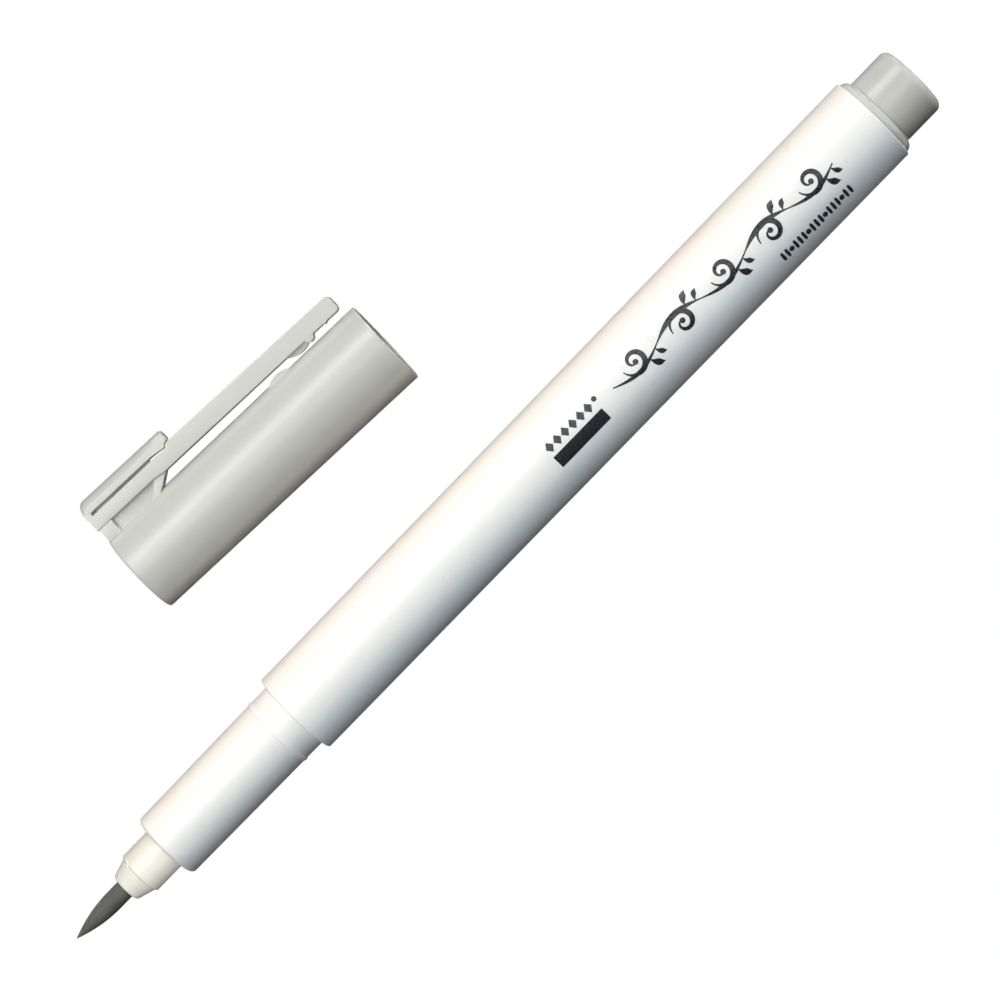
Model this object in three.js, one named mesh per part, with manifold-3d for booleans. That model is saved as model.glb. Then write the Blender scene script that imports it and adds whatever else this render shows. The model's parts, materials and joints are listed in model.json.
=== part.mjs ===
// Brush calligraphy marker with its cap pulled off and laid beside it.
// Millimetres, +Z up. The pen lies along X with its brush towards -X and its tail towards +X.
// The cap lies on the +Y side, mouth towards +X, with its clip pointing away from the pen.
// The origin is the centre of the footprint, on the surface that both of them lie on.
import * as THREE from 'three';
import { mergeVertices } from 'three/addons/utils/BufferGeometryUtils.js';
import Module from 'manifold-3d';

const wasm = await Module();
wasm.setup();

// ---- Driving dimensions: the pen, measured along X from the middle of its barrel print ----
const BRUSH_POINT_X = -69.2;
const NOSE_FACE_X = -61.0;
const NOSE_STEP_X = -58.65;
const NECK_FACE_X = -54.3;
const NOSE_REAR_X = -42.0;
const BEAD_X = -35.8;
const SHOULDER_X = -32.9;
const BARREL_REAR_X = 61.75;
const COLLAR_REAR_X = 62.75;
const TAIL_X = 68.35;

const NECK_FRONT_R = 4.35;
const NECK_REAR_R = 4.5;
const BEAD_R = 4.6;
const BEAD_WIDTH = 0.7;
const BARREL_FRONT_R = 5.475;
const BARREL_REAR_R = 5.675;
const NECK_ROUND = 0.55;
const SHOULDER_ROUND = 0.25;
const RIM_ROUND = 0.15;
const BORE_STEP = 2.0;

const NOSE_R = 2.79;
const NOSE_CONE_REAR_R = 2.55;
const NOSE_CONE_FRONT_R = 1.95;
const NOSE_FACE_R = 1.7;
const NOSE_BORE_R = 1.3;
const NOSE_SPIGOT = { length: 2.0, step: 0.5, chamfer: 0.4 };
const VENT = { length: 0.4, width: 0.35, depth: 0.3, turn: 48 };

const BRUSH_R = 1.19;
const BRUSH_POINT_R = 0.1;
const BRUSH_TAPER = 6.2;
const STEM_REAR_X = -37.2;

const PLUG_R = 4.56;
const COLLAR_R = 5.35;
const PLUG_ROUND = 0.9;
const PLUG_GROOVE = 0.12;
const PLUG_FRONT_X = 54.5;
const PLUG_WALL = 1.0;

const NECK_BORE_R = 3.6;
const BARREL_BORE_R = 4.3;
const RESERVOIR_FRONT_X = -41.6;
const RESERVOIR_REAR_X = 50.0;
const FILM_R = 3.5;
const FILM_THICKNESS = 0.15;
const RIB_COUNT = 4;
const RIB_THICKNESS = 0.6;
const RIB_START = 4.0;
const RIB_ROOT = 0.4;
const FIT_GAP = 0.1;

// ---- Driving dimensions: the cap, with u along its axis from the closed end to the mouth ----
const CAP_CLOSED_END = { x: -33.73, y: 24.055 };
const CAP_SKEW_DEG = -2.75;
const CAP_LENGTH = 38.7;
const CAP_CLOSED_R = 5.25;
const CAP_MOUTH_R = 5.45;
const CAP_BORE_R = 4.675;
const CAP_END_WALL = 0.9;
const CAP_ROUND = 0.3;
const MOUTH_ROUND = 0.15;
const TURNED_GAP = 0.3;

const SEAL_MOUTH_U = 16.4;
const SEAL_R = 3.7;
const SEAL_BORE_R = 3.0;
const SEAL_LIP_R = 2.85;
const SEAL_FLANGE = 0.7;
const SEAL_LIP = { start: 0.5, end: 1.2, taper: 0.6, lead: 0.2 };

// The clip's side view is measured as r, the height above the cap's axis.
const CLIP_REAR_U = 0;
const CLIP_TIP_U = 37.5;
const ARM_BOTTOM_REAR = 6.63;
const ARM_BOTTOM_ROOT = 6.42;
const ARM_BOTTOM_TIP = 6.3;
const ARM_TOP_FRONT = 8.75;
const ARM_TOP_TIP = 8.47;
const ARM_TOP_SLOT = 8.36;
const ARM_STEP = { gap: 0.15, length: 0.2 };
const ARM_TIP_ROUND = 0.55;
const FLEX_U = 10.6;
const PLATE_TOP = 10.47;
const PLATE_TOP_TIP = 10.36;
const PLATE_TIP_U = 12.9;
const PLATE_TIP_ROUND = 0.4;
const PLATE_CROWN_R = 4.0;
const PLATE_BEND_R = 0.9;
const PLATE_LIFT = 8.9;
const SLOT_START_U = 0.75;
const SLOT_TOP = 8.69;
const SLOT_WEB = { end: 9.6, width: 1.6, root: 0.1 };
const WEDGE_START_U = 10.0;
const WEDGE_END_U = 12.0;
const WEDGE_GAP = 0.14;
const CLIP_ROOT_WIDTH = 4.8;
const CLIP_TIP_WIDTH = 4.0;
const TONGUE_WIDTH = 3.0;
const TONGUE_START_U = 9.0;

const PEDESTAL_BLOCK = { start: 0, end: 1.95, width: 4.2 };
const PEDESTAL_WEB_WIDTH = 2.6;
const PEDESTAL_OVERLAP = 0.2;
const STRUT = { rearFoot: 7.4, rearTop: 8.6, frontFoot: 8.7, frontTop: 10.35, width: 4.0 };
const WALL_BUMP = { u: 27.05, length: 3.4, height: 0.5, width: 2.4 };
const CAM_BUMP = { u: 31.05, length: 4.0, height: 0.68, width: 2.4 };
const STOP_BUMP = { u: 32.65, length: 1.25, height: 0.55, width: 4.0 };
const BUMP_ROOT = 0.4;
const MARGIN = 1.0;

const ROUND_STEPS = 48;
const CORNER_STEPS = 4;
const AXIS = 0;

// ---- Geometry helpers ----

// Points on an arc in a side view, from one angle to another, in degrees from the first axis.
function arc(u, r, radius, from, to, steps = CORNER_STEPS) {
  return Array.from({ length: steps + 1 }, (_, i) => {
    const angle = THREE.MathUtils.degToRad(from + ((to - from) * i) / steps);
    return [u + radius * Math.cos(angle), r + radius * Math.sin(angle)];
  });
}

// Merges shared corners and drops the slivers that a turned outline leaves on its axis.
function closed(geometry) {
  geometry.deleteAttribute('normal');
  geometry.deleteAttribute('uv');
  const merged = mergeVertices(geometry, 1e-5);
  const corners = merged.index.array;
  const kept = [];
  for (let i = 0; i < corners.length; i += 3) {
    const [a, b, c] = [corners[i], corners[i + 1], corners[i + 2]];
    if (a !== b && b !== c && c !== a) kept.push(a, b, c);
  }
  merged.setIndex(kept);
  return merged;
}

// Turns an outline of [x, radius] points about the X axis. Outer walls run towards +X.
function turned(outline, steps = ROUND_STEPS) {
  const points = outline.map(([x, radius]) => new THREE.Vector2(radius, x));
  return closed(new THREE.LatheGeometry(points, steps).rotateZ(-Math.PI / 2));
}

// Extrudes a side view of [x, y] points along Z, centred on the XY plane.
function slab(outline, width) {
  const shape = new THREE.Shape(outline.map(([x, y]) => new THREE.Vector2(x, y)));
  const geometry = new THREE.ExtrudeGeometry(shape, { depth: width, bevelEnabled: false });
  return closed(geometry.translate(0, 0, -width / 2));
}

// Extrudes a plan view of [x, z] points upwards from y = 0.
function planSlab(outline, height) {
  const shape = new THREE.Shape(outline.map(([x, z]) => new THREE.Vector2(x, z)));
  const geometry = new THREE.ExtrudeGeometry(shape, { depth: height, bevelEnabled: false });
  return closed(geometry.rotateX(-Math.PI / 2));
}

function toSolid(geometry) {
  return new wasm.Manifold(new wasm.Mesh({
    numProp: 3,
    vertProperties: new Float32Array(geometry.attributes.position.array),
    triVerts: new Uint32Array(geometry.index.array),
  }));
}

function toGeometry(solid) {
  const mesh = solid.getMesh();
  const geometry = new THREE.BufferGeometry();
  geometry.setAttribute('position', new THREE.BufferAttribute(mesh.vertProperties, 3));
  geometry.setIndex(new THREE.BufferAttribute(mesh.triVerts, 1));
  return geometry;
}

const joined = (...geometries) =>
  toGeometry(geometries.map(toSolid).reduce((whole, solid) => whole.add(solid)));
const common = (...geometries) =>
  toGeometry(geometries.map(toSolid).reduce((whole, solid) => whole.intersect(solid)));
const cut = (geometry, ...tools) =>
  toGeometry(tools.map(toSolid).reduce((left, tool) => left.subtract(tool), toSolid(geometry)));

// ---- Materials ----
const plastic = (color, roughness) =>
  new THREE.MeshStandardMaterial({ color, roughness, metalness: 0 });

const whitePlastic = plastic(0xf6f5f1, 0.35);
const ivoryPlastic = plastic(0xece6da, 0.2);
const greyPlastic = plastic(0xb9bab2, 0.38);
const brushFelt = plastic(0x55564f, 0.9);
const fibreFelt = plastic(0x6a6b66, 1.0);
const clearFilm = plastic(0xdfe4e6, 0.15);
const sealPlastic = plastic(0xe4e4de, 0.4);

function piece(name, geometry, material) {
  const mesh = new THREE.Mesh(geometry, material);
  mesh.name = name;
  return mesh;
}

// ---- Pen ----

// The radius of the neck's and the barrel's slow taper at x.
const neckRadius = (x) =>
  THREE.MathUtils.mapLinear(x, NECK_FACE_X, SHOULDER_X, NECK_FRONT_R, NECK_REAR_R);

// The barrel and its neck are one moulding: the nose goes in at the front, the plug at the rear.
function makeBarrel() {
  const noseHole = NOSE_R + FIT_GAP;
  const beadStart = BEAD_X - BEAD_WIDTH / 2;
  const beadEnd = BEAD_X + BEAD_WIDTH / 2;
  const body = turned([
    [NECK_FACE_X, noseHole],
    ...arc(NECK_FACE_X + NECK_ROUND, NECK_FRONT_R - NECK_ROUND, NECK_ROUND, 180, 90),
    [beadStart, neckRadius(beadStart)],
    [BEAD_X - BEAD_WIDTH / 4, BEAD_R],
    [BEAD_X + BEAD_WIDTH / 4, BEAD_R],
    [beadEnd, neckRadius(beadEnd)],
    [SHOULDER_X, NECK_REAR_R],
    ...arc(SHOULDER_X + SHOULDER_ROUND, BARREL_FRONT_R - SHOULDER_ROUND, SHOULDER_ROUND, 180, 90),
    ...arc(BARREL_REAR_X - RIM_ROUND, BARREL_REAR_R - RIM_ROUND, RIM_ROUND, 90, 0),
    [BARREL_REAR_X, BARREL_BORE_R],
    [SHOULDER_X + BORE_STEP, BARREL_BORE_R],
    [SHOULDER_X, NECK_BORE_R],
    [NOSE_REAR_X - NOSE_SPIGOT.length, NECK_BORE_R],
    [NOSE_REAR_X - NOSE_SPIGOT.length, noseHole],
    [NECK_FACE_X, noseHole],
  ]);
  return joined(body, ...makeBarrelRibs());
}

// Ribs along the bore centre the reservoir and leave an air path round it.
function makeBarrelRibs() {
  const inner = FILM_R + FIT_GAP / 2;
  const outer = BARREL_BORE_R + RIB_ROOT;
  const start = SHOULDER_X + RIB_START;
  const length = RESERVOIR_REAR_X - start;
  return Array.from({ length: RIB_COUNT }, (_, i) => {
    const rib = new THREE.BoxGeometry(length, outer - inner, RIB_THICKNESS);
    rib.translate(start + length / 2, (inner + outer) / 2, 0);
    return closed(rib.rotateX(Math.PI / 4 + (i * 2 * Math.PI) / RIB_COUNT));
  });
}

// The nose holds the brush: a cone and a collar outside, a sleeve inside the neck.
function makeNibHolder() {
  const spigotR = NOSE_R - NOSE_SPIGOT.step;
  const spigotX = NOSE_REAR_X - NOSE_SPIGOT.length;
  const body = turned([
    [NOSE_FACE_X, NOSE_BORE_R],
    [NOSE_FACE_X, NOSE_FACE_R],
    [NOSE_FACE_X + 0.1, NOSE_FACE_R + 0.15],
    [NOSE_FACE_X + 0.3, NOSE_CONE_FRONT_R],
    [NOSE_STEP_X, NOSE_CONE_REAR_R],
    [NOSE_STEP_X, NOSE_R - 0.1],
    [NOSE_STEP_X + 0.1, NOSE_R],
    [spigotX - NOSE_SPIGOT.chamfer, NOSE_R],
    [spigotX, spigotR],
    [NOSE_REAR_X, spigotR],
    [NOSE_REAR_X, NOSE_BORE_R],
    [NOSE_FACE_X, NOSE_BORE_R],
  ]);
  const vent = new THREE.BoxGeometry(VENT.length * 2, VENT.depth * 2, VENT.width);
  vent.translate(NOSE_STEP_X, NOSE_R, 0).rotateX(THREE.MathUtils.degToRad(VENT.turn));
  return cut(body, closed(vent));
}

// The brush's working end, with a ball root so that it can bend in the nose.
function makeBrushTip() {
  const steps = 10;
  const taper = Array.from({ length: steps + 1 }, (_, i) => {
    const share = i / steps;
    const radius = BRUSH_R * (2 * share - share * share);
    return [BRUSH_POINT_X + BRUSH_TAPER * share, Math.max(radius, BRUSH_POINT_R)];
  });
  return turned([
    [BRUSH_POINT_X, AXIS],
    ...taper,
    ...arc(NOSE_FACE_X, 0, BRUSH_R, 90, 0, 6).slice(0, -1),
    [NOSE_FACE_X + BRUSH_R, AXIS],
  ], 32);
}

function makeBrushStem() {
  const front = NOSE_FACE_X + BRUSH_R + TURNED_GAP;
  return turned([[front, AXIS], [front, BRUSH_R], [STEM_REAR_X, BRUSH_R], [STEM_REAR_X, AXIS]], 32);
}

// The fibre core takes the brush's stem in a pocket at its front.
function makeReservoir() {
  const radius = FILM_R - FILM_THICKNESS - FIT_GAP / 2;
  const pocketEnd = STEM_REAR_X + 0.2;
  return turned([
    [pocketEnd, AXIS],
    [pocketEnd, NOSE_BORE_R],
    [RESERVOIR_FRONT_X, NOSE_BORE_R],
    [RESERVOIR_FRONT_X, radius],
    [RESERVOIR_REAR_X, radius],
    [RESERVOIR_REAR_X, AXIS],
  ], 32);
}

function makeReservoirFilm() {
  const inner = FILM_R - FILM_THICKNESS;
  return turned([
    [RESERVOIR_FRONT_X, inner],
    [RESERVOIR_FRONT_X, FILM_R],
    [RESERVOIR_REAR_X, FILM_R],
    [RESERVOIR_REAR_X, inner],
    [RESERVOIR_FRONT_X, inner],
  ], 32);
}

// The plug closes the barrel. Its post has the neck's size, so the cap pushes on to it too.
function makeEndPlug() {
  const bore = BARREL_BORE_R - FIT_GAP - PLUG_WALL;
  const collarFront = BARREL_REAR_X + FIT_GAP / 2;
  const collarDepth = COLLAR_REAR_X - collarFront;
  const collar = arc(0, 0, 1, 90, 0).map(([along, out]) => [
    collarFront + collarDepth * along,
    PLUG_R - PLUG_GROOVE + (COLLAR_R - PLUG_R + PLUG_GROOVE) * out,
  ]);
  return turned([
    [TAIL_X - PLUG_WALL, AXIS],
    [TAIL_X - PLUG_WALL, bore],
    [PLUG_FRONT_X, bore],
    [PLUG_FRONT_X, BARREL_BORE_R - FIT_GAP],
    [collarFront, BARREL_BORE_R - FIT_GAP],
    ...collar,
    [COLLAR_REAR_X + 0.15, PLUG_R - PLUG_GROOVE],
    [COLLAR_REAR_X + 0.25, PLUG_R],
    ...arc(TAIL_X - PLUG_ROUND, PLUG_R - PLUG_ROUND, PLUG_ROUND, 90, 0),
    [TAIL_X, AXIS],
  ]);
}

// ---- Cap, in its own frame: x along its axis, y towards the clip ----

function makeCapTube() {
  return turned([
    [0, AXIS],
    ...arc(CAP_ROUND, CAP_CLOSED_R - CAP_ROUND, CAP_ROUND, 180, 90),
    ...arc(CAP_LENGTH - MOUTH_ROUND, CAP_MOUTH_R - MOUTH_ROUND, MOUTH_ROUND, 90, 0, 2),
    [CAP_LENGTH, CAP_BORE_R + 0.15],
    [CAP_LENGTH - 0.3, CAP_BORE_R],
    [CAP_END_WALL, CAP_BORE_R],
    [CAP_END_WALL, AXIS],
  ]);
}

// Plan view of the clip: it narrows from root to tip.
function clipPlan() {
  const root = CLIP_ROOT_WIDTH / 2;
  const tip = CLIP_TIP_WIDTH / 2;
  const rear = CLIP_REAR_U - MARGIN;
  const front = CLIP_TIP_U + MARGIN;
  return planSlab([[rear, -root], [FLEX_U, -root], [front, -tip], [front, tip], [FLEX_U, root],
    [rear, root]], PLATE_TOP + MARGIN);
}

// The underside of the free arm at u.
const armBottom = (u) =>
  THREE.MathUtils.mapLinear(u, FLEX_U, CLIP_TIP_U, ARM_BOTTOM_ROOT, ARM_BOTTOM_TIP);

// The rear arm turns back over itself in a U-bend and ends as a crowned plate above the arm.
function makeClipRoot() {
  const end = FLEX_U - TURNED_GAP / 2;
  const armSide = slab([
    [CLIP_REAR_U, ARM_BOTTOM_REAR],
    [STRUT.rearTop, ARM_BOTTOM_REAR],
    [STRUT.frontTop, ARM_BOTTOM_ROOT],
    [end, ARM_BOTTOM_ROOT],
    [end, ARM_TOP_SLOT],
    [SLOT_START_U, ARM_TOP_SLOT],
    [SLOT_START_U, SLOT_TOP],
    [CLIP_REAR_U, SLOT_TOP],
  ], CLIP_ROOT_WIDTH);
  const plateSide = slab([
    [CLIP_REAR_U, ARM_TOP_SLOT],
    [SLOT_START_U, ARM_TOP_SLOT],
    [SLOT_START_U, SLOT_TOP],
    [WEDGE_START_U, SLOT_TOP],
    [WEDGE_END_U, ARM_TOP_SLOT + WEDGE_GAP],
    [WEDGE_END_U, PLATE_LIFT],
    [PLATE_TIP_U, PLATE_LIFT],
    ...arc(PLATE_TIP_U - PLATE_TIP_ROUND, PLATE_TOP_TIP - PLATE_TIP_ROUND, PLATE_TIP_ROUND, 0, 90),
    ...arc(CLIP_REAR_U + PLATE_BEND_R, PLATE_TOP - PLATE_BEND_R, PLATE_BEND_R, 90, 180),
  ], CLIP_ROOT_WIDTH);
  const crown = turned([
    [CLIP_REAR_U - MARGIN, AXIS],
    [CLIP_REAR_U - MARGIN, PLATE_CROWN_R],
    [PLATE_TIP_U + MARGIN, PLATE_CROWN_R],
    [PLATE_TIP_U + MARGIN, AXIS],
  ]).translate(0, PLATE_TOP - PLATE_CROWN_R, 0);
  const webRear = SLOT_START_U - SLOT_WEB.root;
  const webLow = ARM_TOP_SLOT - SLOT_WEB.root;
  const webHigh = SLOT_TOP + SLOT_WEB.root;
  const web = slab([[webRear, webLow], [SLOT_WEB.end, webLow], [SLOT_WEB.end, webHigh],
    [webRear, webHigh]], SLOT_WEB.width);
  return joined(armSide, common(plateSide, tonguePlan(), crown), web);
}

// Plan view of the plate: full width at the bend, narrowing to a tongue.
function tonguePlan() {
  const half = CLIP_ROOT_WIDTH / 2;
  const tongue = TONGUE_WIDTH / 2;
  const rear = CLIP_REAR_U - MARGIN;
  const front = PLATE_TIP_U + MARGIN;
  return planSlab([[rear, -half], [TONGUE_START_U, -half], [PLATE_TIP_U, -tongue],
    [front, -tongue], [front, tongue], [PLATE_TIP_U, tongue], [TONGUE_START_U, half],
    [rear, half]], PLATE_TOP + MARGIN);
}

// The clip stands on the cap on a block, a narrower web and a slanted strut.
function makePedestal() {
  const low = CAP_BORE_R + 0.02;
  const high = ARM_BOTTOM_REAR + PEDESTAL_OVERLAP;
  const { start, end, width } = PEDESTAL_BLOCK;
  const { mapLinear } = THREE.MathUtils;
  const rear = (r) => mapLinear(r, CAP_CLOSED_R, ARM_BOTTOM_REAR, STRUT.rearFoot, STRUT.rearTop);
  const front = (r) => mapLinear(r, CAP_CLOSED_R, ARM_BOTTOM_ROOT, STRUT.frontFoot, STRUT.frontTop);
  const webRear = end - PEDESTAL_OVERLAP;
  const block = [[start, low], [end, low], [end, high], [start, high]];
  const web = [[webRear, low], [rear(low) + PEDESTAL_OVERLAP, low],
    [rear(high) + PEDESTAL_OVERLAP, high], [webRear, high]];
  const strut = [[rear(low), low], [front(low), low], [front(ARM_BOTTOM_ROOT), ARM_BOTTOM_ROOT],
    [front(ARM_BOTTOM_ROOT), high], [rear(high), high]];
  return [slab(block, width), slab(web, PEDESTAL_WEB_WIDTH), slab(strut, STRUT.width)];
}

// A low arched bump. Its foot line lies at r and it rises in the given direction.
function makeBump({ u, length, height, width }, foot, direction) {
  const radius = (length * length / 4 + height * height) / (2 * height);
  const reach = THREE.MathUtils.radToDeg(Math.asin(length / 2 / radius));
  const arch = arc(0, height - radius, radius, 90 + reach, 90 - reach, 8);
  const outline = [...arch, [length / 2, -BUMP_ROOT], [-length / 2, -BUMP_ROOT]];
  const side = outline.map(([x, y]) => [u + x * direction, foot + y * direction]);
  return slab(side.reverse(), width);
}

function makeCapShell() {
  const tube = makeCapTube();
  const wallFoot = THREE.MathUtils.mapLinear(WALL_BUMP.u, 0, CAP_LENGTH, CAP_CLOSED_R, CAP_MOUTH_R);
  const wallBump = makeBump(WALL_BUMP, wallFoot - 0.1, 1);
  return joined(tube, makeClipRoot(), ...makePedestal(), wallBump);
}

// The free arm bends outwards at the strut. Two bumps near its tip grip a pocket edge.
function makeClipArm() {
  const start = FLEX_U + TURNED_GAP / 2;
  const step = WEDGE_END_U + ARM_STEP.gap;
  const round = ARM_TIP_ROUND;
  const side = slab([
    [start, armBottom(start)],
    ...arc(CLIP_TIP_U - round, ARM_BOTTOM_TIP + round, round, -90, 0),
    ...arc(CLIP_TIP_U - round, ARM_TOP_TIP - round, round, 0, 90),
    [step + ARM_STEP.length, ARM_TOP_FRONT],
    [step, ARM_TOP_SLOT],
    [start, ARM_TOP_SLOT],
  ], CLIP_ROOT_WIDTH);
  const arm = common(side, clipPlan());
  const cam = makeBump(CAM_BUMP, armBottom(CAM_BUMP.u), -1);
  const stop = makeBump(STOP_BUMP, armBottom(STOP_BUMP.u), -1);
  return joined(arm, cam, stop);
}

// The seal grips the nose when the cap is on and keeps the brush from drying out.
function makeInnerSeal() {
  const base = CAP_END_WALL + TURNED_GAP;
  const flangeR = CAP_BORE_R - TURNED_GAP;
  return turned([
    [base, SEAL_BORE_R],
    [base, flangeR],
    [base + SEAL_FLANGE, flangeR],
    [base + SEAL_FLANGE, SEAL_R],
    [SEAL_MOUTH_U - SEAL_LIP.start, SEAL_R],
    [SEAL_MOUTH_U, SEAL_R - SEAL_LIP.lead],
    [SEAL_MOUTH_U, SEAL_BORE_R + SEAL_LIP.lead],
    [SEAL_MOUTH_U - SEAL_LIP.start, SEAL_LIP_R],
    [SEAL_MOUTH_U - SEAL_LIP.end, SEAL_LIP_R],
    [SEAL_MOUTH_U - SEAL_LIP.end - SEAL_LIP.taper, SEAL_BORE_R],
    [base, SEAL_BORE_R],
  ], 32);
}

// ---- Assembly ----
const pen = new THREE.Group();
pen.position.z = BARREL_REAR_R;
pen.add(
  piece('barrel', makeBarrel(), whitePlastic),
  piece('nib_holder', makeNibHolder(), ivoryPlastic),
  piece('brush_tip', makeBrushTip(), brushFelt),
  piece('brush_stem', makeBrushStem(), brushFelt),
  piece('ink_reservoir', makeReservoir(), fibreFelt),
  piece('reservoir_film', makeReservoirFilm(), clearFilm),
  piece('end_plug', makeEndPlug(), greyPlastic),
);

const cap = new THREE.Group();
cap.position.set(CAP_CLOSED_END.x, CAP_CLOSED_END.y, CAP_MOUTH_R);
cap.rotation.z = THREE.MathUtils.degToRad(CAP_SKEW_DEG);
cap.add(
  piece('cap_shell', makeCapShell(), greyPlastic),
  piece('cap_inner_seal', makeInnerSeal(), sealPlastic),
  piece('clip_arm', makeClipArm(), greyPlastic),
);

const marker = new THREE.Group();
marker.add(pen, cap);
const footprint = new THREE.Box3().setFromObject(marker, true).getCenter(new THREE.Vector3());
marker.position.set(-footprint.x, -footprint.y, 0);

export default marker;
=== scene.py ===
"""Looks of the uncapped calligraphy marker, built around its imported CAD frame. Metres, +Z up."""

import json
import math

import bmesh
import bpy
from mathutils import Matrix, Vector


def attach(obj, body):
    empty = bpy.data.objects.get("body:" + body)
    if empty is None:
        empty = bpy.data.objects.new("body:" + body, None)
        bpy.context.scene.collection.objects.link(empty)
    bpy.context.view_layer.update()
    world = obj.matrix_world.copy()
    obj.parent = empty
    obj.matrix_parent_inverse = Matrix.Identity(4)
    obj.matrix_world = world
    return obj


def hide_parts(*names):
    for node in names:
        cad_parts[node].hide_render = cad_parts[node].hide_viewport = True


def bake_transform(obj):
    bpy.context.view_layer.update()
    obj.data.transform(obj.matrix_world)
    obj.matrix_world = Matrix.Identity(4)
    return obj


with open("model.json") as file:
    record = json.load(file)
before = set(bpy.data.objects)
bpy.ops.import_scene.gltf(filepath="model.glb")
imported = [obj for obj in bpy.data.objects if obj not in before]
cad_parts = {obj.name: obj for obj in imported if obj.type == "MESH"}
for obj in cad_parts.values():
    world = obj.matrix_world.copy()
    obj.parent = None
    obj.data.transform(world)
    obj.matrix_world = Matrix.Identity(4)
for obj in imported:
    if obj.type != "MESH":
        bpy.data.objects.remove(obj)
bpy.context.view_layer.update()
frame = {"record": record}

MM = 0.001
# How finely round pieces are turned: in general, inside or slim, and where the vent is cut.
ROUND_STEPS = 160
SLIM_STEPS = 96
NOSE_STEPS = 360
CORNER_STEPS = 6
BEVEL_SEGMENTS = 4
SUPPORT = 0.04
WELD_DISTANCE = 1e-5
ON_AXIS = 1e-6
SHARP_ANGLE = math.radians(38)
RIM_ANGLE = math.radians(60)

# ---- Where the pen and the cap lie: x along their axes, z up, in millimetres ----

TAIL_X = 68.35
MOUNTS = {mount["name"]: mount for mount in frame["record"]["mounts"]}


def axis_frame(origin, along):
    """A matrix from millimetres along a level axis to the row frame."""
    x = Vector(along).normalized()
    z = Vector((0, 0, 1))
    y = z.cross(x)
    turn = Matrix((x, y, z)).transposed().to_4x4()
    return Matrix.Translation(origin) @ turn @ Matrix.Scale(MM, 4)


TAIL = MOUNTS["tail_end"]
CAP_END = MOUNTS["cap_end"]
PEN = axis_frame(Vector(TAIL["pos_m"]) - Vector(TAIL["axis"]) * TAIL_X * MM, TAIL["axis"])
CAP = axis_frame(Vector(CAP_END["pos_m"]), -Vector(CAP_END["axis"]))

# ---- Pen dimensions, in millimetres along the pen's axis ----

BRUSH_POINT_X = -69.2
NOSE_FACE_X = -61.0
NOSE_STEP_X = -58.65
NECK_FACE_X = -54.3
NOSE_REAR_X = -42.0
BEAD_X = -35.8
SHOULDER_X = -32.9
BARREL_REAR_X = 61.75
COLLAR_REAR_X = 62.75
STEM_REAR_X = -37.2
RESERVOIR_FRONT_X = -41.6
RESERVOIR_REAR_X = 50.0
PLUG_FRONT_X = 54.5

NECK_FRONT_R = 4.35
NECK_REAR_R = 4.5
BEAD_R = 4.6
BARREL_FRONT_R = 5.475
BARREL_REAR_R = 5.675
NOSE_R = 2.79
NOSE_CONE_REAR_R = 2.55
NOSE_CONE_FRONT_R = 1.95
NOSE_BORE_R = 1.3
BRUSH_R = 1.19
BRUSH_TAPER = 6.2
PLUG_R = 4.56
COLLAR_R = 5.35
NECK_BORE_R = 3.6
BARREL_BORE_R = 4.3
FILM_R = 3.5
FILM_THICKNESS = 0.15
VENT_TURN = 42.0
VENT_WIDTH = 0.4
NOSE_CLEARANCE = 0.04
PLUG_CLEARANCE = 0.1

# ---- Cap dimensions: u along the cap from its closed end, r above its axis, towards the clip ----

CAP_LENGTH = 38.7
CAP_CLOSED_R = 5.25
CAP_MOUTH_R = 5.45
CAP_BORE_R = 4.675
CAP_END_WALL = 0.9
SEAL_MOUTH_U = 16.4
CLIP_REAR_U = 0.0
CLIP_TIP_U = 37.5
ARM_BOTTOM_REAR = 6.63
ARM_BOTTOM_ROOT = 6.42
ARM_BOTTOM_TIP = 6.3
ARM_TOP_FRONT = 8.75
ARM_TOP_TIP = 8.47
ARM_TOP_SLOT = 8.36
FLEX_U = 10.6
SLOT_START_U = 0.75
SLOT_TOP = 8.69
WEDGE_START_U = 10.0
WEDGE_END_U = 12.0
WEDGE_GAP = 0.14
PLATE_TOP = 10.47
PLATE_TOP_TIP = 10.36
PLATE_TIP_U = 12.9
PLATE_LIFT = 8.9
LIFT_LENGTH = 0.45
CLIP_ROOT_WIDTH = 4.8
CLIP_TIP_WIDTH = 4.0
TONGUE_WIDTH = 3.0
TONGUE_START_U = 9.0
PLATE_CROWN_R = 4.0
BLOCK_START_U = 0.22
BLOCK_END_U = 1.95
BLOCK_WIDTH = 4.6
WEB_START_U = 1.5
WEB_WIDTH = 2.6
RIB_START_U = 2.4
RIB_PITCH = 0.34
RIB_COUNT = 16
RIB_HALF = 0.07
RIB_WIDTH = 2.67
SLOT_WEB_END_U = 9.6
SLOT_WEB_WIDTH = 1.6
# The strut's faces: u at the cap's wall and u under the arm.
STRUT_REAR = (7.4, 8.6)
STRUT_FRONT = (8.7, 10.35)
STRUT_WIDTH = 4.0
# Bumps under the arm: from u, to u, height, squareness power.
CAM_BUMP = (29.05, 33.05, 0.68, 1.0)
CAM_WIDTH = 2.6
STOP_BUMP = (32.02, 33.28, 0.55, 0.5)
TIP_BUMP = (34.85, 35.4, 0.13, 1.0)


# ---- Outlines ----


def arc(x, r, radius, start, end, steps=CORNER_STEPS):
    """Points on a circle in a side view, from one angle to another, in degrees."""
    angles = [math.radians(start + (end - start) * i / steps) for i in range(steps + 1)]
    return [(x + radius * math.cos(a), r + radius * math.sin(a)) for a in angles]


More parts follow.
